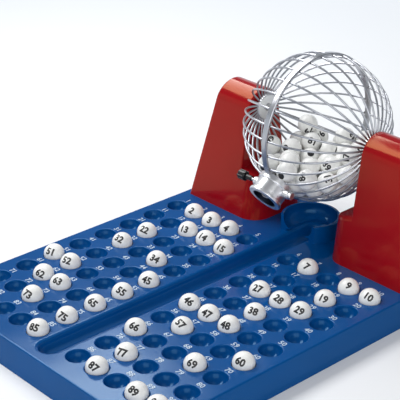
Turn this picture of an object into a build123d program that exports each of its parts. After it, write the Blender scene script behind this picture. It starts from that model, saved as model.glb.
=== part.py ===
from build123d import *
import math
import os

import numpy as np

# A table bingo game: a round wire cage turns between two towers on a numbered tray.
# The origin is the middle of the tray's underside. +X is the crank's side, +Y runs from
# the player to the cage, and +Z is up. Every length is in millimetres.

# Tray: a moulded shell with ten columns and nine rows of ball recesses
tray_length = 394.0
tray_width = 306.0
tray_height = 24.0
skirt_splay = 6.0
tray_wall = 2.2
tray_corner_radius = 22.0
tray_edge_radius = 2.0
centre_pad_radius = 9.0
column_count = 10
row_count = 9
column_pitch = 25.9
channel_gap = 30.8
front_margin_share = 0.0736
rows_from_back = 112.2

# Balls and the recesses that hold them
ball_radius = 10.0
ball_rise = 0.6
seat_gap = 0.3
recess_clearance = 0.6
recess_rim_radius = 1.2
ball_count = 90
called_numbers = (2, 3, 4, 7, 9, 10, 13, 14, 15, 19, 22, 27, 28, 29, 32, 34, 38,
                  45, 46, 47, 48, 51, 52, 55, 57, 60, 62, 63, 65, 66, 69, 73,
                  75, 77, 82, 85, 87, 89, 90)
heap_lean = 5.0
heap_side_lean = 4.0
heap_start_turn = 3.0
relax_share = 0.55
start_share = 0.8
fall_share = 0.02
fall_steps = 600
settle_rounds = 6

# Channel that leads from the scoop to the player's end of the tray
channel_radius = 11.0
channel_sink = 0.5
channel_lip_radius = 4.0
channel_front_margin = 22.0
channel_past_scoop = 6.0

# Scoop under the cage
scoop_radius = 29.5
scoop_wall = 2.8
scoop_height = 17.5
scoop_floor = 1.0
scoop_toe_radius = 13.0
scoop_edge_radius = 0.8
scoop_mouth_setback = 18.7
scoop_slot_margin = 0.6
scoop_ahead_of_axle = 5.8

# Axle's place
axle_from_back = 46.5
axle_height = 110.1
axle_radius = 4.0

# Cage of bent wire
cage_radius = 71.7
wire_radius = 1.0
wire_count = 30
weld_bite = 0.5
ring_width = 6.5
ring_thickness = 3.0
ring_edge_radius = 1.2
hub_radius = 13.0
hub_thickness = 3.6
hub_edge_radius = 1.0
hub_inset = 3.7
hub_collar_radius = 7.5
hub_collar_length = 0.8

# Release tube on the cage's ring
tube_angle = -143.0
tube_bore_radius = 12.3
tube_radius = 16.2
tube_flange_radius = 17.5
tube_flange_length = 3.4
tube_collar_length = 3.6
tube_length = 18.4
tube_root_gap = 0.4
tube_edge_radius = 0.9
tube_mouth_edge_radius = 0.4
tube_groove_depth = 0.4
tube_groove_width = 0.8
tube_groove_setback = 3.0
gate_boss_radius = 4.2
gate_boss_reach = 23.0
gate_axis_setback = 13.5

# Gate: a bent wire across the tube, turned by a knob
gate_rod_radius = 1.5
gate_wire_radius = 0.8
gate_bail_radius = 11.1
gate_rod_clearance = 0.06
gate_end_play = 0.4
gate_collar_radius = 3.6
gate_collar_length = 3.0
gate_knob_radius = 4.4
gate_knob_length = 9.0
gate_knob_reach = 44.5
gate_knob_shank_radius = 2.6
gate_knob_shank_length = 7.5
gate_knob_rib_count = 8
gate_knob_rib_radius = 0.8
gate_knob_edge_radius = 0.8

# Towers: hollow shells, wide at the foot and round at the top
tower_above_axle = 17.9
tower_base_depth = 75.0
tower_top_radius = 21.3
tower_wall = 2.5
tower_foot_x = 145.0
tower_outer_lean = 0.208
tower_upper_x = 74.5
tower_block_x = 48.0
tower_shoulder_height = 46.0
tower_shoulder_rise = 4.0
tower_shoulder_radius = 10.0
tower_block_corner_radius = 20.0
tower_block_edge_radius = 5.0
tower_outer_corner_radius = 2.0
tower_arch_edge_radius = 1.4
pocket_depth = 4.0
pocket_width = 27.0
pocket_below_axle = 26.0
pocket_above_axle = 10.0
pocket_corner_radius = 4.0

# Bearings
bearing_boss_radius = 10.0
bearing_length = 14.0
bush_radius = 6.2
bush_flange_radius = 9.0
bush_flange_thickness = 1.0
bush_seat_clearance = 0.02
axle_clearance = 0.06
clip_thickness = 1.0
clip_radius = 7.0
clip_groove_radius = 3.2
clip_groove_clearance = 0.1
clip_mouth_width = 5.6
clip_end_play = 0.4
axle_tail = 3.0
axle_edge_radius = 0.5
axle_root_inset = 1.2

# Screws that hold the towers down, driven from under the tray
screw_radius = 1.8
screw_head_radius = 3.8
screw_head_height = 2.6
screw_grip = 12.0
screw_clearance = 0.05
screw_hole_clearance = 0.3
screw_slot_width = 1.0
screw_slot_depth = 1.1
screw_boss_radius = 5.0
screw_boss_height = 16.0
screw_offset_x = 96.0
screw_from_flank = 7.0

# Crank
crank_play = 0.8
crank_hub_radius = 7.5
crank_hub_length = 10.0
crank_arm_reach = 38.0
crank_arm_thickness = 4.5
crank_arm_lean = 14.0
crank_arm_end_radius = 5.8
crank_arm_setback = 2.6
crank_edge_radius = 0.8
crank_screw_radius = 1.9
crank_screw_length = 9.0
crank_screw_head_radius = 5.0
crank_screw_head_height = 2.8
crank_screw_clearance = 0.05
pin_radius = 2.5
pin_head_radius = 3.9
pin_head_length = 1.8
grip_length = 33.0
grip_gap = 0.4
grip_clearance = 0.07
grip_neck_radius = 4.6
grip_belly_radius = 6.4
grip_end_radius = 5.2
grip_belly_share = 0.62
grip_edge_radius = 1.0

# One overrun serves every cut
overrun = 2.0

# Places worked out from the sizes
deck = tray_height
axle_y = tray_length / 2 - axle_from_back
axle_z = deck + axle_height
front_margin = tray_length * front_margin_share
row_pitch = (tray_length - front_margin - rows_from_back) / (row_count - 1)
last_row_y = -tray_length / 2 + front_margin
recess_radius = ball_radius + recess_clearance
recess_centre_rise = ball_rise - ball_radius - seat_gap + recess_radius
scoop_y = axle_y - scoop_ahead_of_axle
cage_inner_radius = cage_radius - wire_radius
tube_mouth_reach = cage_inner_radius + tube_root_gap + tube_length
gate_axis_reach = tube_mouth_reach - gate_axis_setback
hub_inner_x = cage_radius - hub_inset
hub_outer_x = hub_inner_x + hub_thickness
hub_face_x = hub_outer_x + hub_collar_length
tower_height = axle_height + tower_above_axle
tower_top_centre = tower_height - tower_top_radius
tower_face_x = tower_foot_x - tower_outer_lean * axle_height
screw_offset_y = tower_base_depth / 2 - screw_from_flank
pocket_floor_x = tower_face_x - pocket_depth
left_axle_end_x = tower_upper_x + bearing_length + clip_end_play + clip_thickness + axle_tail
crank_hub_x = pocket_floor_x + bush_flange_thickness + crank_play
crank_face_x = crank_hub_x + crank_hub_length
axle_point = (0, axle_y, axle_z)
rad = math.radians


def tube_direction():
    """The way the release tube points at rest, seen along the axle."""
    return (0, math.cos(rad(tube_angle)), math.sin(rad(tube_angle)))


# Cage parts are built with local X along the release tube and local Z along the axle
cage_frame = Plane(origin=axle_point, x_dir=tube_direction(), z_dir=(1, 0, 0))


def on_axle(shape, x):
    """A shape modelled along Z, laid along the axle with its zero at x."""
    return Plane(origin=(x, axle_y, axle_z), x_dir=(0, 1, 0), z_dir=(1, 0, 0)) * shape


def mirrored(shape):
    """The other side's copy of a piece."""
    return mirror(shape, Plane.YZ)


def rod(radius, low, high):
    """A round bar along Z between two heights."""
    return Pos(0, 0, (low + high) / 2) * Cylinder(radius, high - low)


def tube(outer, inner, low, high):
    """A round tube along Z between two heights."""
    return rod(outer, low, high) - rod(inner, low - overrun, high + overrun)


def face_from(edges):
    """A flat face inside a closed run of edges."""
    return Face(Wire(edges))


# Tray


def recess_place(number):
    """Middle of a numbered recess on the tray's top. Number 1 is at the back left."""
    column = (number - 1) % column_count
    row = (number - 1) // column_count
    middle = (column_count - 1) / 2
    side = math.copysign(1, column - middle)
    x = (column - middle) * column_pitch + side * channel_gap / 2
    y = last_row_y + (row_count - 1 - row) * row_pitch
    return x, y


def bowl_outline(radius, centre_rise, rim_radius):
    """Half section of a round-bottomed hollow with a rolled rim, below height zero."""
    rim_x = math.sqrt((radius + rim_radius) ** 2 - (rim_radius + centre_rise) ** 2)
    lean = math.atan2(-rim_radius - centre_rise, rim_x)
    meet = (radius * math.cos(lean), centre_rise + radius * math.sin(lean))
    low = (lean - math.pi / 2) / 2
    bowl_mid = (radius * math.cos(low), centre_rise + radius * math.sin(low))
    turn = (lean + math.pi + math.pi / 2) / 2
    rim_mid = (rim_x + rim_radius * math.cos(turn), rim_radius * math.sin(turn) - rim_radius)
    return (0, centre_rise - radius), bowl_mid, meet, rim_mid, (rim_x, 0)


def bowl_face(radius, centre_rise, rim_radius):
    """The half section as a face, carried past the top for cutting."""
    foot, bowl_mid, meet, rim_mid, rim = (
        (x, 0, z) for x, z in bowl_outline(radius, centre_rise, rim_radius))
    edges = [ThreePointArc(foot, bowl_mid, meet), ThreePointArc(meet, rim_mid, rim)]
    top = (rim[0], 0, overrun)
    edges += [Line(rim, top), Line(top, (0, 0, overrun)), Line((0, 0, overrun), foot)]
    return face_from(edges)


def shell_face(radius, centre_rise):
    """Half section of the wall that hangs under the tray's top round a hollow."""
    start = -tray_wall / 2
    reach = math.sqrt(radius ** 2 - (start - centre_rise) ** 2)
    lean = math.atan2(start - centre_rise, reach)
    half_turn = (lean - math.pi / 2) / 2
    middle = (radius * math.cos(half_turn), 0, centre_rise + radius * math.sin(half_turn))
    foot = (0, 0, centre_rise - radius)
    arc = ThreePointArc(foot, middle, (reach, 0, start))
    return face_from([arc, Line((reach, 0, start), (0, 0, start)), Line((0, 0, start), foot)])


def channel_run(half_face):
    """A half section carried along the channel, with round ends."""
    front = -tray_length / 2 + channel_front_margin
    back = scoop_y + channel_past_scoop
    half = Pos(0, front, 0) * extrude(half_face, amount=back - front, dir=(0, 1, 0))
    end = revolve(half_face, Axis.Z, 360)
    return half + mirrored(half) + Pos(0, front, 0) * end + Pos(0, back, 0) * end


def tray_block(inset, height):
    """The tray's splayed block, moved in by a wall on every side."""
    spread = skirt_splay * height / tray_height
    top = RectangleRounded(tray_width - 2 * inset, tray_length - 2 * inset,
                           tray_corner_radius - inset)
    foot = RectangleRounded(tray_width + 2 * spread - 2 * inset,
                            tray_length + 2 * spread - 2 * inset,
                            tray_corner_radius + spread - inset)
    return loft([foot, Pos(0, 0, height) * top], ruled=True)


def screw_places():
    """Where the screws rise into the towers, on the right of the tray."""
    return [(screw_offset_x, axle_y - screw_offset_y), (screw_offset_x, axle_y + screw_offset_y)]


def make_tray():
    shell = tray_block(0, tray_height)
    shell = fillet(shell.edges().group_by(Axis.Z)[-1], tray_edge_radius)
    shell -= Pos(0, 0, -overrun) * tray_block(tray_wall, tray_height - tray_wall + overrun)
    cup = revolve(shell_face(recess_radius + tray_wall, recess_centre_rise), Axis.Z, 360)
    bowl = revolve(bowl_face(recess_radius, recess_centre_rise, recess_rim_radius), Axis.Z, 360)
    places = [Pos(*recess_place(n), deck) for n in range(1, column_count * row_count + 1)]
    trough = channel_run(shell_face(channel_radius + tray_wall, -channel_sink))
    pad = rod(centre_pad_radius, 0, deck - channel_radius)
    shell = shell + [place * cup for place in places] + [Pos(0, 0, deck) * trough, pad]
    groove = channel_run(bowl_face(channel_radius, -channel_sink, channel_lip_radius))
    hole = rod(screw_radius + screw_hole_clearance, deck - tray_wall - overrun, deck + overrun)
    right_holes = [Pos(x, y) * hole for x, y in screw_places()]
    holes = right_holes + [mirrored(h) for h in right_holes]
    return shell - ([place * bowl for place in places] + [Pos(0, 0, deck) * groove] + holes)


def make_scoop():
    """A round wall, open to the front, that guides a fallen ball into the channel."""
    inner = scoop_radius - scoop_wall
    toe = (inner - scoop_toe_radius, scoop_floor)
    knee = (inner, scoop_floor + scoop_toe_radius)
    bend = scoop_toe_radius * (1 - math.sqrt(0.5))
    middle = (inner - bend, scoop_floor + bend)
    points = [(0, scoop_floor), (0, 0), (scoop_radius, 0), (scoop_radius, scoop_height),
              (inner, scoop_height), knee]
    spots = [(x, 0, z) for x, z in points]
    edges = [Line(a, b) for a, b in zip(spots[:-1], spots[1:])]
    edges += [ThreePointArc(spots[-1], (middle[0], 0, middle[1]), (toe[0], 0, toe[1])),
              Line((toe[0], 0, toe[1]), spots[0])]
    bowl = revolve(face_from(edges), Axis.Z, 360)
    bowl = fillet(bowl.edges().group_by(Axis.Z)[-1], scoop_edge_radius)
    rim_x = bowl_outline(channel_radius, -channel_sink, channel_lip_radius)[-1][0]
    slot_half = rim_x + scoop_slot_margin
    slot_end = Pos(0, channel_past_scoop, 0) * rod(slot_half, -overrun, scoop_floor + overrun)
    slot_run = Pos(0, channel_past_scoop - scoop_radius, scoop_floor / 2) * Box(
        2 * slot_half, 2 * scoop_radius, scoop_floor + 2 * overrun)
    size = 4 * scoop_radius
    ahead = Pos(0, -scoop_mouth_setback - size / 2, 0) * Box(size, size, size)
    return Pos(0, scoop_y, deck) * (bowl - [slot_end, slot_run, ahead])


# Towers


def flank_slope():
    """The angle at which the flanks rise so that they touch the round top."""
    half = tower_base_depth / 2
    reach = math.hypot(half, tower_top_centre)
    return math.atan2(tower_top_centre, half) + math.asin(tower_top_radius / reach)


def flank_foot(inset, drop):
    """How far a flank, moved in by a wall, stands from the middle at a depth below the foot."""
    slope = flank_slope()
    return tower_base_depth / 2 - inset / math.sin(slope) + drop / math.tan(slope)


def side_face(inset):
    """The tower seen from the side: straight flanks that run into a round top."""
    slope = flank_slope()
    radius = tower_top_radius - inset
    aside = radius * math.sin(slope)
    touch_z = tower_top_centre + radius * math.cos(slope)
    drop = overrun if inset else 0
    foot = flank_foot(inset, drop)
    left, right = (0, -aside, touch_z), (0, aside, touch_z)
    low_left, low_right = (0, -foot, -drop), (0, foot, -drop)
    edges = [Line(low_left, left),
             ThreePointArc(left, (0, 0, tower_top_centre + radius), right),
             Line(right, low_right), Line(low_right, low_left)]
    return face_from(edges)


def front_face(inset):
    """The right tower seen from the front: low block, rounded shoulder, upper post."""
    block = tower_block_x + inset
    upper = tower_upper_x + inset
    shoulder = tower_shoulder_height - inset
    radius = tower_shoulder_radius - inset
    drop = overrun if inset else 0
    top = tower_height + overrun
    outer_foot = tower_foot_x - inset + tower_outer_lean * drop
    outer_top = tower_foot_x - inset - tower_outer_lean * top
    bend = radius * (1 - math.sqrt(0.5))
    knee = (block, 0, shoulder - radius)
    crown = (block + radius, 0, shoulder)
    edges = [Line((block, 0, -drop), knee),
             ThreePointArc(knee, (block + bend, 0, shoulder - bend), crown)]
    rest = [crown, (upper, 0, shoulder + tower_shoulder_rise), (upper, 0, top),
            (outer_top, 0, top), (outer_foot, 0, -drop), (block, 0, -drop)]
    edges += [Line(a, b) for a, b in zip(rest[:-1], rest[1:])]
    return face_from(edges)


def leaning_prism(inset, way):
    """The foot's plan with one round corner, run up along the flank on that side."""
    radius = tower_block_corner_radius - inset
    left, right = tower_block_x + inset, tower_foot_x + overrun
    near, far = way * flank_foot(inset, overrun), -way * tower_base_depth
    bend = radius * (1 - math.sqrt(0.5))
    turned, level = (left, near - way * radius, -overrun), (left + radius, near, -overrun)
    rest = [level, (right, near, -overrun), (right, far, -overrun), (left, far, -overrun), turned]
    edges = [Line(a, b) for a, b in zip(rest[:-1], rest[1:])]
    edges.append(ThreePointArc(turned, (left + bend, near - way * bend, -overrun), level))
    slope = flank_slope()
    rise = (tower_height + 2 * overrun) / math.sin(slope)
    return extrude(face_from(edges), amount=rise,
                   dir=(0, -way * math.cos(slope), math.sin(slope)))


def tower_block(inset):
    """The tower's outer form, or its hollow when moved in by a wall."""
    reach = 2 * tower_foot_x
    side = extrude(side_face(inset), amount=reach, dir=(1, 0, 0))
    front = extrude(front_face(inset), amount=tower_base_depth, dir=(0, 1, 0), both=True)
    return side & front & leaning_prism(inset, 1) & leaning_prism(inset, -1)


def block_top_edges(block):
    """The edges that run along both sides of the low block's rounded top."""
    low = tower_shoulder_height - 2 * tower_shoulder_radius
    high = tower_shoulder_height + tower_shoulder_rise
    aside = tower_base_depth / 2 - tower_block_corner_radius
    spots = [(edge, edge.center()) for edge in block.edges()]
    return [edge for edge, spot in spots if low < spot.Z < high
            and spot.X < tower_upper_x and abs(spot.Y) > aside]


def soften(block):
    """Round the block's top, the post's edges towards the cage, and the outer edges."""
    block = fillet(block_top_edges(block), tower_block_edge_radius)
    near = block.faces().filter_by(Axis.X).sort_by(Axis.X)
    post = [face for face in near if abs(face.center().X - tower_upper_x) < tower_wall][0]
    shoulder_top = tower_shoulder_height + tower_shoulder_rise
    post_edges = [e for e in post.edges() if e.center().Z > shoulder_top + tower_wall]
    block = fillet(post_edges, tower_arch_edge_radius)
    far = block.faces().sort_by(Axis.X)[-1]
    far_edges = [e for e in far.edges() if e.center().Z > tower_wall]
    return fillet(far_edges, tower_outer_corner_radius)


def pocket_box(inset):
    """The pocket round the crank's hub, or the block of wall that lines it."""
    width = pocket_width - 2 * inset
    low = axle_height - pocket_below_axle + inset
    high = axle_height + pocket_above_axle - inset
    floor_x = pocket_floor_x + inset
    reach = tower_foot_x
    box = Pos((floor_x + reach) / 2, 0, (low + high) / 2) * Box(reach - floor_x, width, high - low)
    return fillet(box.edges().filter_by(Axis.X), pocket_corner_radius - inset)


def make_tower(with_crank):
    outer = soften(tower_block(0))
    hollow = tower_block(tower_wall)
    if with_crank:
        hollow -= pocket_box(-tower_wall)
    shell = outer - hollow
    along = Plane(origin=(0, 0, axle_height), x_dir=(0, 1, 0), z_dir=(1, 0, 0))
    bosses = [along * rod(bearing_boss_radius, tower_upper_x + tower_wall / 2,
                          tower_upper_x + bearing_length)]
    if with_crank:
        bosses.append(along * rod(bearing_boss_radius, pocket_floor_x - bearing_length,
                                  pocket_floor_x - tower_wall / 2))
    for x, y in screw_places():
        bosses.append((Pos(x, y - axle_y) * rod(screw_boss_radius, 0, screw_boss_height)) & outer)
    shell = shell + bosses
    bore = bush_radius + bush_seat_clearance
    inner_end = pocket_floor_x - bearing_length - overrun
    cuts = [along * rod(bore, tower_upper_x - overrun, inner_end)]
    if with_crank:
        cuts += [pocket_box(0), along * rod(bore, inner_end - overrun, pocket_floor_x + overrun)]
    pilot = rod(screw_radius + screw_clearance, -overrun, screw_grip - tray_wall + overrun)
    cuts += [Pos(x, y - axle_y) * pilot for x, y in screw_places()]
    return Pos(0, axle_y, deck) * (shell - cuts)


# Bearings and fixings


def bush(length):
    """A flanged sleeve: the flange stands below zero, the sleeve above."""
    flange = rod(bush_flange_radius, -bush_flange_thickness, 0)
    return flange + rod(bush_radius, 0, length) - rod(
        axle_radius + axle_clearance, -bush_flange_thickness - overrun, length + overrun)


def make_screws():
    """Pan-head screws, each with a slot, driven up through the tray into the towers."""
    under = deck - tray_wall
    shank = rod(screw_radius, under, deck + screw_grip - tray_wall)
    head = rod(screw_head_radius, under - screw_head_height, under)
    slot = Pos(0, 0, under - screw_head_height) * Box(
        2 * screw_head_radius + overrun, screw_slot_width, 2 * screw_slot_depth)
    screw = shank + head - slot
    right = [Pos(x, y) * screw for x, y in screw_places()]
    return Compound(right + [mirrored(s) for s in right])


def clip(x):
    """An open ring that snaps into the axle's groove."""
    ring = tube(clip_radius, clip_groove_radius + clip_groove_clearance, 0, clip_thickness)
    mouth = Pos(clip_radius, 0, clip_thickness / 2) * Box(
        2 * clip_radius, clip_mouth_width, clip_thickness + 2 * overrun)
    return on_axle(ring - mouth, x)


def clip_groove():
    """The cut that seats a clip on an axle, from zero upwards along Z."""
    width = clip_thickness + 2 * clip_groove_clearance
    return tube(axle_radius + overrun, clip_groove_radius, -clip_groove_clearance,
                width - clip_groove_clearance)


def clip_x():
    """Where a clip sits, just past the end of its bearing."""
    return tower_upper_x + bearing_length + clip_end_play


# Cage


def make_ring():
    outer = cage_inner_radius + ring_thickness
    band = tube(outer, cage_inner_radius, -ring_width / 2, ring_width / 2)
    band = fillet(band.edges().filter_by(GeomType.CIRCLE), ring_edge_radius)
    gap = Rot(0, 90, 0) * rod(tube_flange_radius, 0, outer + overrun)
    return cage_frame * (band - gap)


def wire_start(bearing):
    """Angle from the ring's plane where a wire starts, clear of the release tube."""
    plain = math.asin((ring_width / 2 - weld_bite) / cage_radius)
    grip = (tube_flange_radius - weld_bite) / cage_radius
    aside = math.sin(bearing)
    if abs(aside) >= grip or math.cos(bearing) < 0:
        return plain
    return max(plain, math.asin(math.sqrt(grip ** 2 - aside ** 2) / math.cos(bearing)))


def make_wires(side):
    """Bent wires from the ring to one hub, as arcs round the middle of the cage."""
    pole = Vector(0, 0, side)
    finish = math.acos((hub_radius - weld_bite) / cage_radius)
    wires = []
    for index in range(wire_count):
        bearing = (index + 0.5) * 2 * math.pi / wire_count
        outward = Vector(math.cos(bearing), math.sin(bearing), 0)
        start = wire_start(bearing)
        begin = pole * math.sin(start) + outward * math.cos(start)
        arc = Plane(origin=(0, 0, 0), x_dir=begin, z_dir=outward.cross(pole))
        sweep_angle = math.degrees(finish - start)
        wires.append(Solid.make_torus(cage_radius, wire_radius, arc, major_angle=sweep_angle))
    return Compound([cage_frame * wire for wire in wires])


def make_hub(side):
    """A round end plate with a short collar towards its tower."""
    plate = rod(hub_radius, hub_inner_x, hub_outer_x)
    plate = fillet(plate.edges().filter_by(GeomType.CIRCLE), hub_edge_radius)
    plate += rod(hub_collar_radius, hub_inner_x + hub_thickness / 2, hub_face_x)
    plate -= rod(axle_radius, hub_inner_x - overrun, hub_face_x + overrun)
    hub = on_axle(plate, 0)
    return hub if side > 0 else mirrored(hub)


def make_left_axle():
    bar = rod(axle_radius, hub_inner_x - axle_root_inset, left_axle_end_x)
    bar = fillet(bar.edges().filter_by(GeomType.CIRCLE), axle_edge_radius)
    bar -= Pos(0, 0, clip_x()) * clip_groove()
    return mirrored(on_axle(bar, 0))


def make_right_axle():
    end = crank_face_x
    bar = rod(axle_radius, hub_inner_x - axle_root_inset, end)
    bar = fillet(bar.edges().group_by(Axis.Z)[0], axle_edge_radius)
    bar -= Pos(0, 0, clip_x()) * clip_groove()
    bar -= rod(crank_screw_radius + crank_screw_clearance, end - crank_screw_length - overrun,
               end + overrun)
    return on_axle(bar, 0)


def gate_bosses():
    """Two bosses on the tube's sides, in which the gate's rod turns."""
    one = rod(gate_boss_radius, tube_bore_radius + tube_edge_radius, gate_boss_reach)
    one = fillet(one.edges().group_by(Axis.Z)[-1], tube_edge_radius)
    return [Pos(gate_axis_reach, 0, 0) * one, Pos(gate_axis_reach, 0, 0) * (Rot(180, 0, 0) * one)]


def make_release_tube():
    """A short flanged tube, cut to the cage's curve at its root."""
    root = cage_inner_radius + tube_root_gap
    body = rod(tube_radius, root - tube_flange_radius, tube_mouth_reach)
    flange = rod(tube_flange_radius, tube_mouth_reach - tube_flange_length, tube_mouth_reach)
    flange = fillet(flange.edges().filter_by(GeomType.CIRCLE), tube_edge_radius)
    collar_top = root + tube_collar_length
    collar = rod(tube_flange_radius, root - tube_flange_radius, collar_top)
    collar = fillet(collar.edges().group_by(Axis.Z)[-1], tube_edge_radius)
    groove_low = tube_mouth_reach - tube_flange_length - tube_groove_setback
    groove = tube(tube_radius + overrun, tube_radius - tube_groove_depth,
                  groove_low, groove_low + tube_groove_width)
    bore = rod(tube_bore_radius, root - tube_flange_radius - overrun, tube_mouth_reach + overrun)
    solid = body + flange + collar - groove - bore
    mouth = solid.edges().filter_by(GeomType.CIRCLE).group_by(Axis.Z)[-1]
    inner = [e for e in mouth if e.radius < tube_radius]
    solid = Rot(0, 90, 0) * fillet(inner, tube_mouth_edge_radius) + gate_bosses()
    pivot = Pos(gate_axis_reach, 0, 0) * rod(
        gate_rod_radius + gate_rod_clearance, -gate_boss_reach - overrun,
        gate_boss_reach + overrun)
    return cage_frame * (solid - [pivot, Sphere(root)])


def make_gate_wire():
    """The rod through both bosses, with a half ring across the tube's bore."""
    inner_end = gate_bail_radius - gate_wire_radius
    knob_end = gate_knob_reach - gate_knob_length / 2
    collar_end = gate_boss_reach + gate_end_play + gate_collar_length / 2
    left = rod(gate_rod_radius, -knob_end, -inner_end)
    right = rod(gate_rod_radius, inner_end, collar_end)
    plane = Plane(origin=(0, 0, 0), x_dir=(0, 0, -1), z_dir=(0, -1, 0))
    bail = Solid.make_torus(gate_bail_radius, gate_wire_radius, plane, major_angle=180)
    return cage_frame * (Pos(gate_axis_reach, 0, 0) * (left + right + bail))


def make_gate_knob():
    """A ribbed knob on the left end of the gate's rod."""
    low = -gate_knob_reach
    high = low + gate_knob_length
    body = rod(gate_knob_radius, low, high)
    body = fillet(body.edges().filter_by(GeomType.CIRCLE), gate_knob_edge_radius)
    ribs = []
    for index in range(gate_knob_rib_count):
        place = Rot(0, 0, index * 360 / gate_knob_rib_count) * Pos(gate_knob_radius, 0, 0)
        ribs.append(place * rod(gate_knob_rib_radius, low + gate_knob_edge_radius,
                                high - gate_knob_edge_radius))
    shank = rod(gate_knob_shank_radius, high - gate_knob_shank_length / 2,
                high + gate_knob_shank_length)
    knob = body + ribs + [shank]
    knob -= rod(gate_rod_radius, low + gate_knob_length / 2, high + 2 * gate_knob_shank_length)
    return cage_frame * (Pos(gate_axis_reach, 0, 0) * knob)


def make_gate_collar():
    """A round cap on the right end of the gate's rod."""
    low = gate_boss_reach + gate_end_play
    cap = rod(gate_collar_radius, low, low + gate_collar_length)
    cap = fillet(cap.edges().group_by(Axis.Z)[-1], tube_edge_radius)
    cap -= rod(gate_rod_radius, low - overrun, low + gate_collar_length / 2)
    return cage_frame * (Pos(gate_axis_reach, 0, 0) * cap)


# Crank


def crank_end():
    """Where the arm's middle meets the pin's line: x, and depth below the axle."""
    lean = rad(crank_arm_lean)
    root_x = crank_face_x - crank_arm_setback
    return root_x + crank_arm_reach * math.sin(lean), crank_arm_reach * math.cos(lean)


def crank_eye_x():
    """The flat face on the arm's end that the grip turns against."""
    lean = rad(crank_arm_lean)
    corner = crank_arm_end_radius * math.sin(lean) + crank_arm_thickness / 2 * math.cos(lean)
    return crank_end()[0] + corner


def make_crank_arm():
    """A tapered arm that hangs from its hub and leans away from the tower."""
    hub = rod(crank_hub_radius, crank_hub_x, crank_face_x)
    hub = fillet(hub.edges().filter_by(GeomType.CIRCLE), crank_edge_radius)
    hub = on_axle(hub, 0)
    reach = crank_arm_reach
    end = crank_arm_end_radius
    lean = math.asin((crank_hub_radius - end) / reach)
    near = (crank_hub_radius * math.cos(lean), -crank_hub_radius * math.sin(lean))
    far = (end * math.cos(lean), -reach - end * math.sin(lean))
    flat = [(0, near[0], near[1]), (0, far[0], far[1])]
    other = [(0, -y, z) for _, y, z in reversed(flat)]
    edges = [Line(flat[0], flat[1]), ThreePointArc(flat[1], (0, 0, -reach - end), other[0]),
             Line(other[0], other[1]), ThreePointArc(other[1], (0, 0, crank_hub_radius), flat[0])]
    arm = Pos(-crank_arm_thickness / 2, 0, 0) * extrude(
        face_from(edges), amount=crank_arm_thickness, dir=(1, 0, 0))
    arm = fillet(arm.edges().filter_by(Plane.YZ), crank_edge_radius)
    root_x = crank_face_x - crank_arm_setback
    arm = Pos(root_x, axle_y, axle_z) * (Rot(0, -crank_arm_lean, 0) * arm)
    end_x, drop = crank_end()
    eye_low = end_x - crank_arm_thickness
    eye = rod(crank_arm_end_radius, eye_low, crank_eye_x())
    eye = Pos(0, 0, -drop) * on_axle(eye, 0)
    bores = [on_axle(rod(axle_radius, crank_hub_x - overrun, crank_face_x + crank_hub_radius), 0),
             Pos(0, 0, -drop) * on_axle(
                 rod(pin_radius, eye_low - overrun, crank_eye_x() + overrun), 0)]
    past_face = on_axle(rod(crank_screw_head_radius, crank_face_x,
                            crank_face_x + crank_hub_radius), 0)
    return hub + arm + eye - bores - past_face


def make_crank_screw():
    """A slotted screw that holds the crank on the axle's end."""
    head = rod(crank_screw_head_radius, crank_face_x, crank_face_x + crank_screw_head_height)
    head = fillet(head.edges().group_by(Axis.Z)[-1], crank_edge_radius)
    shank = rod(crank_screw_radius, crank_face_x - crank_screw_length, crank_face_x)
    slot = Pos(0, 0, crank_face_x + crank_screw_head_height) * Box(
        2 * crank_screw_head_radius + overrun, screw_slot_width, 2 * screw_slot_depth)
    return on_axle(head + shank - slot, 0)


def pin_line(shape):
    """A shape modelled along Z, laid along the crank's pin."""
    return Pos(0, 0, -crank_end()[1]) * on_axle(shape, 0)


def grip_start():
    return crank_eye_x() + grip_gap


def make_crank_pin():
    end_x = crank_end()[0]
    tip = grip_start() + grip_length + grip_gap
    pin = rod(pin_radius, end_x - crank_arm_thickness, tip)
    head = rod(pin_head_radius, tip, tip + pin_head_length)
    head = fillet(head.edges().group_by(Axis.Z)[-1], crank_edge_radius)
    return pin_line(pin + head)


def make_crank_grip():
    """A barrel-shaped handle that turns on its pin."""
    start = grip_start()
    bore = pin_radius + grip_clearance
    belly = start + grip_length * grip_belly_share
    end = start + grip_length
    neck, full, tip = grip_neck_radius, grip_belly_radius, grip_end_radius
    curve = Spline((neck, 0, start), (full, 0, belly), (tip, 0, end),
                   tangents=[(full - neck, 0, belly - start), (tip - full, 0, end - belly)])
    edges = [curve, Line((tip, 0, end), (bore, 0, end)), Line((bore, 0, end), (bore, 0, start)),
             Line((bore, 0, start), (neck, 0, start))]
    grip = revolve(face_from(edges), Axis.Z, 360)
    rims = [e for e in grip.edges().filter_by(GeomType.CIRCLE) if e.radius > bore + grip_gap]
    return pin_line(fillet(rims, grip_edge_radius))


# Balls


def make_called_balls():
    """The balls that stand in their recesses on the tray."""
    balls = []
    for number in called_numbers:
        x, y = recess_place(number)
        balls.append(Pos(x, y, deck + ball_rise) * Sphere(ball_radius))
    return Compound(balls)


def push_apart(spots, pitch, room):
    """Move overlapping balls apart and back inside the cage, a little at a time."""
    gaps = spots[:, None, :] - spots[None, :, :]
    far = np.linalg.norm(gaps, axis=2)
    np.fill_diagonal(far, 2 * pitch)
    short = np.clip(pitch - far, 0, None) / 2
    spots = spots + (gaps / far[:, :, None] * short[:, :, None]).sum(axis=1) * relax_share
    reach = np.linalg.norm(spots, axis=1, keepdims=True)
    return np.where(reach > room, spots * room / reach, spots)


def heap_down():
    """The way the balls fall: down, and a little to the back and to the right."""
    across, back = math.sin(rad(heap_side_lean)), math.sin(rad(heap_lean))
    return np.array([across, back, -math.sqrt(1 - across ** 2 - back ** 2)])


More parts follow.
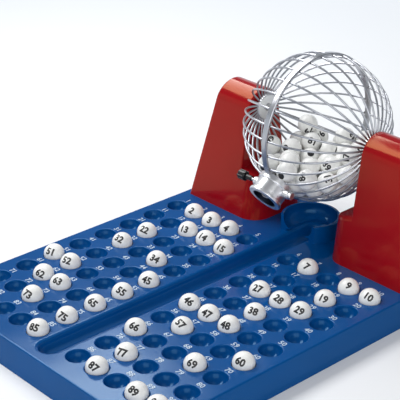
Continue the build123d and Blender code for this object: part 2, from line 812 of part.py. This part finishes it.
def heap_of_balls(count, pitch, room):
    """Let the balls settle in a heap in a round cage that has just been turned."""
    turn = math.pi * (3 - math.sqrt(5))
    index = np.arange(count)
    spread = room * start_share * np.sqrt((index * turn) % 1)
    rise = room * (2 * index / count - 1) * start_share
    facing = index * turn + heap_start_turn
    spots = np.stack([spread * np.cos(facing), spread * np.sin(facing), rise], axis=1)
    down = heap_down()
    for step in range(fall_steps):
        fade = 1 - step / fall_steps
        spots = spots + down * pitch * fall_share * fade
        for _ in range(settle_rounds):
            spots = push_apart(spots, pitch, room)
    for _ in range(fall_steps):
        spots = push_apart(spots, pitch, room)
    return spots


def make_caged_balls():
    """The balls still in the cage, heaped at its bottom."""
    room = cage_inner_radius - ball_radius - seat_gap
    pitch = 2 * ball_radius + seat_gap
    spots = heap_of_balls(ball_count - len(called_numbers), pitch, room)
    gaps = np.linalg.norm(spots[:, None, :] - spots[None, :, :], axis=2)
    np.fill_diagonal(gaps, 4 * pitch)
    print("caged balls: nearest centres", round(float(gaps.min()), 3),
          "furthest from the middle", round(float(np.linalg.norm(spots, axis=1).max()), 3),
          "top", round(float(spots[:, 2].max()), 1), "lean", np.round(spots.mean(axis=0), 2))
    return Compound([Pos(x, axle_y + y, axle_z + z) * Sphere(ball_radius) for x, y, z in spots])


parts = {
    "tray": make_tray(),
    "scoop": make_scoop(),
    "left_tower": mirrored(make_tower(False)),
    "right_tower": make_tower(True),
    "tower_screws": make_screws(),
    "left_bush": mirrored(on_axle(bush(bearing_length), tower_upper_x)),
    "right_inner_bush": on_axle(bush(bearing_length), tower_upper_x),
    "right_outer_bush": on_axle(Rot(180, 0, 0) * bush(bearing_length), pocket_floor_x),
    "centre_ring": make_ring(),
    "left_wires": make_wires(-1),
    "right_wires": make_wires(1),
    "left_hub": make_hub(-1),
    "right_hub": make_hub(1),
    "left_axle": make_left_axle(),
    "right_axle": make_right_axle(),
    "left_clip": mirrored(clip(clip_x())),
    "right_clip": clip(clip_x()),
    "release_tube": make_release_tube(),
    "gate_wire": make_gate_wire(),
    "gate_knob": make_gate_knob(),
    "gate_collar": make_gate_collar(),
    "crank_arm": make_crank_arm(),
    "crank_screw": make_crank_screw(),
    "crank_pin": make_crank_pin(),
    "crank_grip": make_crank_grip(),
    "called_balls": make_called_balls(),
    "caged_balls": make_caged_balls(),
}

os.makedirs("parts", exist_ok=True)
for name, shape in parts.items():
    export_step(shape, f"parts/{name}.step")
print("wrote", len(parts), "parts")
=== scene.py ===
# %% [markdown]
# # A table bingo game
# A round wire cage turns between two red towers at the back of a blue tray. This lesson loads
# the measured model, gives each piece its finish, and adds the cage's weld beads and the numbers
# on the tray and on the balls. Every length is in metres. +X is the crank's side, +Y runs from
# the player to the cage, and +Z is up.

import math
import random

import bmesh
import bpy
from mathutils import Matrix, Vector


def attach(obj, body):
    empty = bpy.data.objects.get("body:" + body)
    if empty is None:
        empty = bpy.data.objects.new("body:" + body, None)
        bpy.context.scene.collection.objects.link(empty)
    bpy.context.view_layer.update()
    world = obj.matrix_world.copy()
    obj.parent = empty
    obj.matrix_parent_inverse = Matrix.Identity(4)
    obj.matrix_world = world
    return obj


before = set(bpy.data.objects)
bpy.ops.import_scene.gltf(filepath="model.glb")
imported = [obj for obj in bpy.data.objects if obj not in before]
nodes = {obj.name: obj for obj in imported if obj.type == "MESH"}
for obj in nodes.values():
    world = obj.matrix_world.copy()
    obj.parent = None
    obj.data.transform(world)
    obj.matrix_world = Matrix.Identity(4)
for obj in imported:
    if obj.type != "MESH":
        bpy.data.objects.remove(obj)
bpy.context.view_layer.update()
mm = 0.001

# %% [markdown]
# ## Shader maths as Python
# Each finish is a small graph of nodes. It could be linked by hand in the shader editor, or node
# by node in a script, but both are long to read. Here one class wraps a socket instead, so that an
# expression such as `1 - mask * 0.2` adds its own Math nodes and reads as the sum that it is.


# %% A socket that can be used in a sum
class Signal:
    """A node's output that works like a number in an expression."""

    def __init__(self, tree, socket):
        self.tree = tree
        self.socket = socket

    def _maths(self, operation, first, second):
        node = self.tree.nodes.new("ShaderNodeMath")
        node.operation = operation
        for slot, value in zip(node.inputs, (first, second)):
            if isinstance(value, Signal):
                self.tree.links.new(value.socket, slot)
            else:
                slot.default_value = value
        return Signal(self.tree, node.outputs[0])

    def __add__(self, other):
        return self._maths("ADD", self, other)

    def __mul__(self, other):
        return self._maths("MULTIPLY", self, other)

    def __sub__(self, other):
        return self._maths("SUBTRACT", self, other)

    def __rsub__(self, other):
        return self._maths("SUBTRACT", other, self)

    def __or__(self, other):
        return self._maths("MAXIMUM", self, other)

    __radd__ = __add__
    __rmul__ = __mul__
    __ror__ = __or__


print("signals can be added, subtracted, multiplied and joined")

# %% [markdown]
# Noise, mixes and bumps are nodes with settings and many sockets. Each could have its own few
# lines, but one method can add them all: it takes the node's type, its settings, and the values
# or links of its sockets. The steps that every finish here needs, such as cloudy noise and a
# bump, then only need a short name.


# %% A finish and the one method that adds any other node
class Finish:
    """A material with a Principled shader and a short way to add nodes to it."""

    def __init__(self, name, **sockets):
        self.material = bpy.data.materials.new(name)
        self.material.use_nodes = True
        self.tree = self.material.node_tree
        self.principled = self.tree.nodes["Principled BSDF"]
        self.place = self.node("TexCoord", output="Object")
        self.set(**sockets)

    def _fill(self, node, sockets):
        """Give a node's sockets their values or links, each by its identifier."""
        slots = {slot.identifier.replace(" ", "_"): slot for slot in node.inputs}
        for key, value in sockets.items():
            if isinstance(value, Signal):
                self.tree.links.new(value.socket, slots[key])
            elif slots[key].type == "RGBA":
                slots[key].default_value = (*value, 1)
            else:
                slots[key].default_value = value

    def node(self, kind, settings=None, output=0, **sockets):
        """Add a node: its settings first, then values or links for its sockets."""
        made = self.tree.nodes.new("ShaderNode" + kind)
        for key, value in (settings or {}).items():
            setattr(made, key, value)
        self._fill(made, sockets)
        return Signal(self.tree, made.outputs[output])

    def set(self, **sockets):
        """Fill sockets of the Principled shader."""
        self._fill(self.principled, sockets)
        return self

    def show(self, shader):
        """Let the surface show this shader instead of the plain Principled one."""
        self._fill(self.tree.nodes["Material Output"], {"Surface": shader})

    def noise(self, size, detail=2.0):
        """Cloudy noise from 0 to 1, with blobs of about this size in metres."""
        return self.node("TexNoise", Vector=self.place, Scale=1 / size, Detail=detail)

    def bump(self, height, depth):
        """Relief of this depth in metres, fed to the shader's normal."""
        return self.set(Normal=self.node("Bump", Height=height, Distance=depth))

    def tint(self, mask, low, high):
        """Blend two colours by a mask from 0 to 1 and use the result as the base colour."""
        self.colour = self.node("Mix", {"data_type": "RGBA"}, output=2, Factor_Float=mask,
                                A_Color=low, B_Color=high)
        return self.set(Base_Color=self.colour)


def wear(finish, *names):
    """Give pieces of the measured model their finish."""
    for name in names:
        mesh = nodes[name].data
        mesh.materials.clear()
        mesh.materials.append(finish.material)


print("a finish wraps one material")

# %% [markdown]
# ## The moulded plastics
# The tray and scoop are glossy blue, and the towers glossy red. One colour and one roughness would
# do for a toy in a drawing, but moulded plastic is never quite flat: it carries faint waves a few
# centimetres wide, which bend its reflections, and a fine skin that softens them. The waves could
# be cut into the mesh, but they are a fraction of a millimetre deep and would need a very fine
# one, so noise in the bump and in the roughness gives both. The highlights of the photographed
# plastics have a colour of their own, which the specular tint gives.

# %% Blue and red moulded plastic
cloud_size, wave_size, skin_size = 60 * mm, 34 * mm, 0.5 * mm
cloud_dulling, skin_dulling, skin_relief = 0.05, 0.06, 0.02


def moulded(name, low, high, gleam, shine, roughness, wave_depth):
    """Glossy plastic with two close shades, slow waves and a fine skin."""
    finish = Finish(name, Specular_IOR_Level=shine, Specular_Tint=gleam)
    cloud = finish.noise(cloud_size)
    skin = finish.noise(skin_size)
    finish.tint(cloud, low, high)
    finish.set(Roughness=roughness + cloud * cloud_dulling + skin * skin_dulling)
    return finish.bump(finish.noise(wave_size, 0.0) + skin * skin_relief, wave_depth)


blue = moulded("Glossy blue plastic", low=(0.0, 0.060, 0.225), high=(0.0, 0.075, 0.285),
               gleam=(0.3, 0.7, 1.0), shine=0.30, roughness=0.10, wave_depth=0.25 * mm)
red = moulded("Glossy red plastic", low=(0.30, 0.003, 0.009), high=(0.36, 0.005, 0.011),
              gleam=(1.0, 0.52, 0.16), shine=0.34, roughness=0.06, wave_depth=0.35 * mm)
wear(blue, "tray", "scoop")
wear(red, "left_tower", "right_tower")
print("plastics:", blue.material.name, "and", red.material.name)

# %% [markdown]
# ## The metals
# The cage's wires and ring are bright plated steel, slightly milky, and the release tube and the
# cage's hubs are paler still. The axles, screws and crank arm are plain steel. A mirror-like metal
# would be simpler, but plating shows fine drawing marks and small dull patches. So the roughness
# varies, while the colour stays almost even.

# %% Plated wire, pale tube metal, plain steel and dark welds
patch_size, mark_depth, mark_detail = 9 * mm, 0.02 * mm, 3.0


def plated(name, low, high, roughness, grain, spread):
    """Metal with dull patches and drawing marks of this grain."""
    finish = Finish(name, Metallic=1.0)
    patches = finish.noise(patch_size)
    marks = finish.noise(grain, mark_detail)
    finish.tint(patches, low, high)
    finish.set(Roughness=roughness + patches * spread + marks * spread)
    return finish.bump(marks, mark_depth)


pale_metal = {"low": (0.72, 0.73, 0.75), "high": (0.82, 0.82, 0.83), "roughness": 0.24,
              "grain": 0.8 * mm, "spread": 0.10}
wire_metal = plated("Plated wire", low=(0.40, 0.41, 0.44), high=(0.50, 0.51, 0.54),
                    roughness=0.22, grain=0.6 * mm, spread=0.07)
tube_metal = plated("Pale tube metal", **pale_metal)
steel = plated("Plain steel", low=(0.42, 0.42, 0.44), high=(0.52, 0.52, 0.53),
               roughness=0.28, grain=0.4 * mm, spread=0.10)
weld_metal = plated("Dark weld", low=(0.10, 0.10, 0.11), high=(0.17, 0.17, 0.18),
                    roughness=0.38, grain=0.5 * mm, spread=0.10)
wear(wire_metal, "left_wires", "right_wires", "centre_ring")
wear(tube_metal, "gate_collar", "left_hub", "right_hub")
wear(steel, "left_axle", "right_axle", "left_clip", "right_clip", "tower_screws",
     "gate_wire", "crank_arm", "crank_screw", "crank_pin")
print("metals:", wire_metal.material.name, tube_metal.material.name, steel.material.name)

# %% [markdown]
# The release tube is polished outside, and its bore is painted dark, as the shade that falls
# inside it. The bore's faces could have a material of their own, but the measured model stays as
# it is and takes one for each piece. So one material holds the metal and the painted shade, and
# the distance from the tube's own axis, which runs out from the cage's axle, tells them apart.

# %% The tube's bore, painted with shade
axle = Vector((0, 150.5 * mm, 134.1 * mm))
tube_angle = math.radians(-143)
tube_way = Vector((0, math.cos(tube_angle), math.sin(tube_angle)))
bore_radius = 12.3 * mm
bore_end, polish_start = bore_radius + 0.05 * mm, bore_radius + 0.25 * mm

tube_finish = plated("Tube with painted shade in its bore", **pale_metal)
from_axle = tube_finish.node("VectorMath", {"operation": "SUBTRACT"}, Vector=tube_finish.place,
                             Vector_001=axle)
aside = tube_finish.node("VectorMath", {"operation": "CROSS_PRODUCT"}, Vector=from_axle,
                         Vector_001=tube_way)
off_axis = tube_finish.node("VectorMath", {"operation": "LENGTH"}, output=1, Vector=aside)
outside = tube_finish.node("MapRange", Value=off_axis, From_Min=bore_end, From_Max=polish_start)
# Inside the bore the colour is painted dark, as the shade that falls there.
tube_finish.tint(1 - outside, low=tube_finish.colour, high=(0.055, 0.070, 0.105))
wear(tube_finish, "release_tube")
print("tube finish has", len(tube_finish.tree.nodes), "nodes")

# %% [markdown]
# ## Black, white and ivory
# The knob and the crank's handle are black plastic with a fine spark-eroded grain. The bearings
# are plain white. The balls are smooth ivory plastic, a touch warmer in places. The small numbers
# on the tray are pale raised print, and those on the balls are black ink. One flat colour each
# would nearly do for pieces so small, but close up it looks painted. All five are made the same
# way, so one function gives the two close shades and the uneven roughness, and the three plastics
# get their grain as a bump.


# %% Black plastic, white plastic, ivory balls, print and ink
def shaded(name, low, high, cloud, roughness, grain, spread, **sockets):
    """Two close shades in soft clouds, and a grain that varies the roughness."""
    finish = Finish(name, **sockets)
    finish.tint(finish.noise(cloud), low, high)
    return finish.set(Roughness=roughness + finish.noise(grain) * spread)


black = shaded("Black plastic", low=(0.005, 0.005, 0.006), high=(0.009, 0.009, 0.010),
               cloud=12 * mm, roughness=0.24, grain=0.7 * mm, spread=0.10,
               Specular_IOR_Level=0.35)
black.bump(black.noise(0.35 * mm, 3.0), depth=0.03 * mm)
white = shaded("White plastic", low=(0.80, 0.80, 0.77), high=(0.86, 0.86, 0.84),
               cloud=10 * mm, roughness=0.42, grain=0.8 * mm, spread=0.08)
white.bump(white.noise(0.5 * mm), depth=0.01 * mm)
ivory = shaded("Ivory ball", low=(0.89, 0.89, 0.86), high=(0.94, 0.94, 0.92),
               cloud=25 * mm, roughness=0.22, grain=4 * mm, spread=0.10)
ivory.bump(ivory.noise(1.2 * mm), depth=0.008 * mm)
pale_print = shaded("Pale raised print", low=(0.50, 0.62, 0.74), high=(0.62, 0.72, 0.82),
                    cloud=3 * mm, roughness=0.40, grain=0.8 * mm, spread=0.10,
                    Specular_IOR_Level=0.3)
ink = shaded("Printed black ink", low=(0.006, 0.006, 0.007), high=(0.020, 0.020, 0.022),
             cloud=1.5 * mm, roughness=0.30, grain=0.4 * mm, spread=0.15)
wear(black, "gate_knob", "crank_grip")
wear(white, "left_bush", "right_inner_bush", "right_outer_bush")
wear(ivory, "called_balls", "caged_balls")
print("small finishes:", black.material.name, white.material.name, ivory.material.name)

# %% [markdown]
# ## Shapes as meshes
# The tray carries a small raised number behind each recess, and each ball a bold printed one.
# Digits could be drawn point by point, but a text object already has good outlines. It is made a
# mesh before it is placed, because a finished piece sits at the origin with its place in its mesh.

# %% A number's mesh
digit_share = 0.7


def box_middle(verts):
    """The middle of the box round some points of a shape."""
    axes = list(zip(*(vert.co for vert in verts)))
    return (Vector([min(axis) for axis in axes]) + Vector([max(axis) for axis in axes])) / 2


def number_mesh(text, height, depth, weight):
    """A mesh of the digits, centred on the origin, reading along X."""
    curve = bpy.data.curves.new("number", "FONT")
    curve.body = text
    curve.size = height / digit_share
    curve.align_x = "CENTER"
    curve.align_y = "CENTER"
    curve.resolution_u = 2
    curve.extrude = depth / 2
    curve.offset = weight
    holder = bpy.data.objects.new("number", curve)
    bpy.context.scene.collection.objects.link(holder)
    graph = bpy.context.evaluated_depsgraph_get()
    mesh = bpy.data.meshes.new_from_object(holder.evaluated_get(graph))
    bpy.data.objects.remove(holder)
    bpy.data.curves.remove(curve)
    shape = bmesh.new()
    shape.from_mesh(mesh)
    bpy.data.meshes.remove(mesh)
    bmesh.ops.translate(shape, verts=shape.verts, vec=-box_middle(shape.verts))
    return shape


print("a digit fills", digit_share, "of its font's size")


# %% Join shapes, and turn a shape into a piece
def add_shape(target, shape):
    """Copy one bmesh into another and free it."""
    mesh = bpy.data.meshes.new("part")
    shape.to_mesh(mesh)
    shape.free()
    target.from_mesh(mesh)
    bpy.data.meshes.remove(mesh)


def piece(name, shape, finish, body):
    """Turn a bmesh into a named piece that rides on a body."""
    mesh = bpy.data.meshes.new(name)
    shape.to_mesh(mesh)
    shape.free()
    mesh.materials.append(finish.material)
    made = bpy.data.objects.new(name, mesh)
    bpy.context.scene.collection.objects.link(made)
    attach(made, body)
    print(name, len(mesh.polygons), "faces")


print("shape helpers ready")

# %% [markdown]
# ## Welds
# Each wire is pinched and welded where it meets the ring, which leaves a small dark bead. A dark
# spot in the ring's colour would do from afar, but a bead stands out from the ring's edge, so it
# is a small sphere. The wires that end on the release tube have theirs hidden under its flange.

# %% Weld beads along both edges of the ring
cage_radius, ring_half, wire_count = 71.7 * mm, 3.25 * mm, 30
bead_radius, bead_past_ring = 1.3 * mm, 0.1 * mm
hidden_by_flange = 0.96
beside_tube = Vector((1, 0, 0)).cross(tube_way)
welds = bmesh.new()
for index in range(wire_count):
    bearing = (index + 0.5) * math.tau / wire_count
    if math.cos(bearing) > hidden_by_flange:
        continue
    outward = tube_way * math.cos(bearing) + beside_tube * math.sin(bearing)
    for side in (-1, 1):
        along_axle = Vector((side * (ring_half + bead_past_ring), 0, 0))
        spot = axle + outward * cage_radius + along_axle
        bmesh.ops.create_uvsphere(welds, u_segments=8, v_segments=6, radius=bead_radius,
                                  matrix=Matrix.Translation(spot))
for face in welds.faces:
    face.smooth = True
piece("wire_welds", welds, weld_metal, "cage")

# %% [markdown]
# ## The numbers on the tray
# Ten columns and nine rows count from 1 at the back left to 90 at the front right, with the
# channel between the fifth and sixth columns. Each number stands up a little from the tray's top,
# just behind its recess. It could be a mask in the tray's colour, but a raised digit catches the
# light along its edge, so each is a thin solid, sunk a little into the tray.

# %% Places of the recesses
columns, rows = 10, 9
column_pitch, row_pitch, channel_gap = 25.9 * mm, 31.6 * mm, 30.8 * mm
front_row_y = -168 * mm
deck = 24 * mm
ball_count = columns * rows


def recess_place(number):
    """The middle of a recess, at the height of the tray's top."""
    row, column = divmod(number - 1, columns)
    side = 1 if column >= columns / 2 else -1
    x = (column - (columns - 1) / 2) * column_pitch + side * channel_gap / 2
    return Vector((x, front_row_y + (rows - 1 - row) * row_pitch, deck))


print("recess 1 at", recess_place(1), "recess", ball_count, "at", recess_place(ball_count))

# %% Raised white numbers
print_back, print_height, print_rise, print_weight = 15.0 * mm, 5.4 * mm, 0.30 * mm, 0.04 * mm
prints = bmesh.new()
for number in range(1, ball_count + 1):
    digits = number_mesh(str(number), print_height, print_rise, print_weight)
    spot = recess_place(number) + Vector((0, print_back, print_rise / 4))
    bmesh.ops.translate(digits, verts=digits.verts, vec=spot)
    add_shape(prints, digits)
piece("tray_numbers", prints, pale_print, "root")

# %% [markdown]
# ## The numbers on the balls
# The real numbers are printed ink, which follows the ball. An image could be wrapped round each
# ball, but it would blur close up, so the digits are thin sheets of mesh just off the skin. Each
# ball's place comes from the measured model: the loose triangles of a ball node are merged, and
# each separate island is one ball.

# %% Find the balls of a node
merge_reach = 0.01 * mm
sort_decimals = 4


def ball_centres(node):
    """The middles of a node's balls, from the back row to the front and left to right."""
    shape = bmesh.new()
    shape.from_mesh(nodes[node].data)
    bmesh.ops.remove_doubles(shape, verts=shape.verts, dist=merge_reach)
    waiting = set(shape.verts)
    centres = []
    while waiting:
        island, to_visit = set(), [waiting.pop()]
        while to_visit:
            vert = to_visit.pop()
            island.add(vert)
            near = [edge.other_vert(vert) for edge in vert.link_edges]
            fresh = [other for other in near if other in waiting]
            waiting.difference_update(fresh)
            to_visit += fresh
        centres.append(box_middle(island))
    shape.free()
    return sorted(centres, key=lambda c: [round(v, sort_decimals) for v in (-c.y, c.x, c.z)])


called_centres = ball_centres("called_balls")
caged_centres = ball_centres("caged_balls")
print("called balls:", len(called_centres), "caged balls:", len(caged_centres))

# %% [markdown]
# Flat digits would cut into a round ball or stand off it. A Shrinkwrap modifier could press them
# on, but it squeezes their edges. Here the digits are cut into short edges, and every point keeps
# its distance from the middle of the digit, measured along the skin, so they keep their shape.

# %% Wrap flat ink onto a ball
ball_radius = 10 * mm
ink_lift, longest_edge, cut_rounds = 0.05 * mm, 1.2 * mm, 2


def wrap_on_ball(shape, centre, outward, along, turn):
    """Bend a flat shape onto a ball's skin, facing outward and reading along a direction."""
    bmesh.ops.triangulate(shape, faces=shape.faces)
    for _ in range(cut_rounds):
        long_edges = [edge for edge in shape.edges if edge.calc_length() > longest_edge]
        bmesh.ops.subdivide_edges(shape, edges=long_edges, cuts=1)
        bmesh.ops.triangulate(shape, faces=shape.faces)
    outward = outward.normalized()
    across = (along - along.dot(outward) * outward).normalized()
    up = outward.cross(across)
    place = Matrix((across, up, outward)).transposed() @ Matrix.Rotation(turn, 3, "Z")
    skin = ball_radius + ink_lift
    for vert in shape.verts:
        flat = Vector((vert.co.x, vert.co.y, 0))
        reach = flat.length
        lift = skin * math.cos(reach / skin)
        spread = flat.normalized() * skin * math.sin(reach / skin) if reach else flat
        vert.co = centre + place @ Vector((spread.x, spread.y, lift))


print("ink wraps onto a ball of radius", ball_radius)

# %% [markdown]
# A called ball lies in the recess of its own number, so the list of called numbers gives each
# ball its digits. They face the player, each swayed and tilted a little by chance, since nobody
# sets balls down in perfect line. The dice are seeded, so every run gives the same picture.

# %% Numbers on the called balls
called_numbers = (2, 3, 4, 7, 9, 10, 13, 14, 15, 19, 22, 27, 28, 29, 32, 34, 38, 45, 46, 47,
                  48, 51, 52, 55, 57, 60, 62, 63, 65, 66, 69, 73, 75, 77, 82, 85, 87, 89, 90)
digit_height, digit_weight = 6.4 * mm, 0.38 * mm
most_sway, most_tilt = 0.14, 0.22
to_player = Vector((0.42, -0.65, 0.66))
along_rows = Vector((1, 0, 0))
dice = random.Random(7)
inked = bmesh.new()
for number in called_numbers:
    recess = recess_place(number)
    centre = min(called_centres, key=lambda c: (c.xy - recess.xy).length)
    digits = number_mesh(str(number), digit_height, 0, digit_weight)
    sway = Vector([dice.uniform(-most_sway, most_sway) for _ in range(3)])
    wrap_on_ball(digits, centre, to_player + sway, along_rows, dice.uniform(-most_tilt, most_tilt))
    add_shape(inked, digits)
piece("called_ball_numbers", inked, ink, "called_balls")

# %% [markdown]
# A caged ball carries its number on one side and a black disc on the other. Most lie any way up,
# which seeded chance gives well. A few in front are turned as the photograph shows them: each
# entry gives a place in the cage, in millimetres, and the way that the ball's disc or its number
# faces.

# %% Balls that show a disc or a number to the front
disc_facing = [((-29, 145, 104), (0.05, -0.94, 0.33)), ((-14, 155, 95), (0.48, -0.37, 0.80)),
               ((-17, 101, 104), (0.22, -0.97, 0.00)), ((10, 98, 106), (0.20, -0.97, -0.09))]
number_facing = [((27, 108, 100), (0.10, -0.75, 0.60)), ((29, 140, 105), (0.20, -0.88, 0.40)),
                 ((-25, 169, 104), (0.62, -0.60, 0.51)), ((39, 124, 96), (0.49, -0.40, 0.75))]
turned = {}
for side, places in ((-1, disc_facing), (1, number_facing)):
    for place, facing in places:
        nearest = min(caged_centres, key=lambda c: (c - Vector(place) * mm).length)
        turned[tuple(nearest)] = Vector(facing).normalized() * side
print("balls turned to the front:", len(turned))

# %% Numbers and discs on the caged balls
disc_radius, disc_sides, widest_turn = 3.4 * mm, 24, 6.28
still_caged = [n for n in range(1, ball_count + 1) if n not in called_numbers]
dice.shuffle(still_caged)
inked = bmesh.new()
for number, centre in zip(still_caged, caged_centres):
    chance = Vector([dice.gauss(0, 1) for _ in range(3)]).normalized()
    outward = turned.get(tuple(centre), chance)
    along = outward.orthogonal()
    digits = number_mesh(str(number), digit_height, 0, digit_weight)
    wrap_on_ball(digits, centre, outward, along, dice.uniform(0, widest_turn))
    add_shape(inked, digits)
    disc = bmesh.new()
    bmesh.ops.create_circle(disc, cap_ends=True, radius=disc_radius, segments=disc_sides)
    wrap_on_ball(disc, centre, -outward, along, 0)
    add_shape(inked, disc)
piece("caged_ball_numbers", inked, ink, "caged_balls")

# %% [markdown]
# ## The studio
# A pale round floor runs under the game, far out on every side, and curves up into a low wall, as
# a photographer's paper sweep does. More light could make it white, but that would bleach the
# game. So near the game it is lit like anything else and takes the shadow. Further out, where the
# lamps do not reach, it glows softly, but only for the camera and in reflections, and puts no
# light of its own on the game.

# %% The floor's finish
paper_cloud, lit_reach, glow_reach = 0.4, 0.35, 1.3
floor_finish = Finish("Pale floor", Roughness=0.6)
floor_finish.tint(floor_finish.noise(paper_cloud), (0.86, 0.88, 0.90), (0.90, 0.91, 0.92))
from_camera, in_gloss, through_glass = [
    floor_finish.node("LightPath", output="Is " + kind)
    for kind in ("Camera Ray", "Glossy Ray", "Transmission Ray")]
distance = floor_finish.node("VectorMath", {"operation": "LENGTH"}, output=1,
                             Vector=floor_finish.place)
far_out = floor_finish.node("MapRange", {"interpolation_type": "SMOOTHSTEP"}, Value=distance,
                            From_Min=lit_reach, From_Max=glow_reach)
paper = Signal(floor_finish.tree, floor_finish.principled.outputs[0])
glow = floor_finish.node("Emission", Color=(0.86, 0.91, 0.97), Strength=1.0)
floor_finish.show(floor_finish.node("MixShader", Shader=paper, Shader_001=glow,
                                    Fac=(from_camera | in_gloss | through_glass) * far_out))
print("floor finish has", len(floor_finish.tree.nodes), "nodes")

# %% [markdown]
# The floor could be a plane and the wall a bent strip behind the game, but then a view from the
# side would look past them. One profile, spun round the middle, looks the same from everywhere.

# %% The floor and its low wall, turned from one profile
flat_reach, cove_radius, wall_top = 3.2, 0.5, 1.2
floor_drop, spin_steps = 0.2 * mm, 96
cove = [(flat_reach + cove_radius * math.sin(a), cove_radius * (1 - math.cos(a)))
        for a in (math.radians(angle) for angle in range(0, 100, 10))]
profile = [(0.0, 0.0), (0.5, 0.0), (1.5, 0.0)] + cove + [(flat_reach + cove_radius, wall_top)]
floor_shape = bmesh.new()
line = [floor_shape.verts.new((reach, 0, height - floor_drop)) for reach, height in profile]
edges = [floor_shape.edges.new(pair) for pair in zip(line, line[1:])]
bmesh.ops.spin(floor_shape, geom=line + edges, cent=(0, 0, 0), axis=(0, 0, 1), angle=math.tau,
               steps=spin_steps, use_merge=True)
bmesh.ops.remove_doubles(floor_shape, verts=floor_shape.verts, dist=merge_reach)
bmesh.ops.recalc_face_normals(floor_shape, faces=floor_shape.faces)
innermost = min(floor_shape.faces, key=lambda face: face.calc_center_median().length)
if innermost.normal.z < 0:
    bmesh.ops.reverse_faces(floor_shape, faces=floor_shape.faces)
for face in floor_shape.faces:
    face.smooth = True
floor_mesh = bpy.data.meshes.new("floor")
floor_shape.to_mesh(floor_mesh)
floor_shape.free()
floor_mesh.materials.append(floor_finish.material)
floor = bpy.data.objects.new("floor", floor_mesh)
bpy.context.scene.collection.objects.link(floor)
print("floor has", len(floor_mesh.polygons), "faces")

# %% [markdown]
# ## The light
# A wide softbox at the left gives the bright bands on the towers' round tops, a weak one overhead
# lights the balls, and a wide one in front fills the shadows. Small lamps would be brighter spots
# with hard shadows, which the photograph does not show. A dim world keeps the deep places open.

# %% World and lamps
scene = bpy.context.scene
world = bpy.data.worlds.new("Studio")
scene.world = world
world.use_nodes = True
backdrop = world.node_tree.nodes["Background"]
backdrop.inputs["Color"].default_value = (0.90, 0.94, 1.0, 1)
ambient = 0.26
backdrop.inputs["Strength"].default_value = ambient


def softbox(name, spot, aim, size, power):
    """A rectangular lamp at one spot that shines at another."""
    data = bpy.data.lights.new(name, "AREA")
    data.shape = "RECTANGLE"
    data.size, data.size_y = size
    data.energy = power
    made = bpy.data.objects.new(name, data)
    made.location = spot
    made.rotation_euler = (Vector(aim) - Vector(spot)).to_track_quat("-Z", "Y").to_euler()
    scene.collection.objects.link(made)


softbox("left softbox", spot=(-0.95, 0.05, 1.15), aim=(0, 0.15, 0.2), size=(1.7, 0.52), power=22)
softbox("overhead", spot=(0.1, 0.4, 1.4), aim=(0, 0.05, 0.05), size=(1.0, 0.7), power=2)
softbox("front fill", spot=(1.45, -1.25, 1.0), aim=(0, 0.05, 0.08), size=(1.9, 1.3), power=19.5)
print("lamps set, ambient", ambient)

# %% [markdown]
# ## The camera
# The game is seen from the front right and from above, as in the photograph. A short lens close by
# would swell the near balls, so a long lens looks on from more than a metre away. The heading and
# pitch come from places measured in the photograph.

# %% Camera
lens = bpy.data.cameras.new("Camera")
lens.sensor_width = 36
lens.lens = 125.6
lens.shift_x = -0.036
camera = bpy.data.objects.new("Camera", lens)
camera.location = (0.8451, -0.7631, 0.6574)
heading, pitch = 2.3975, -0.4517
gaze = Vector((math.cos(pitch) * math.cos(heading), math.cos(pitch) * math.sin(heading),
               math.sin(pitch)))
camera.rotation_euler = gaze.to_track_quat("-Z", "Y").to_euler()
scene.collection.objects.link(camera)
scene.camera = camera
scene.view_settings.view_transform = "Standard"
print("camera looks along", gaze)
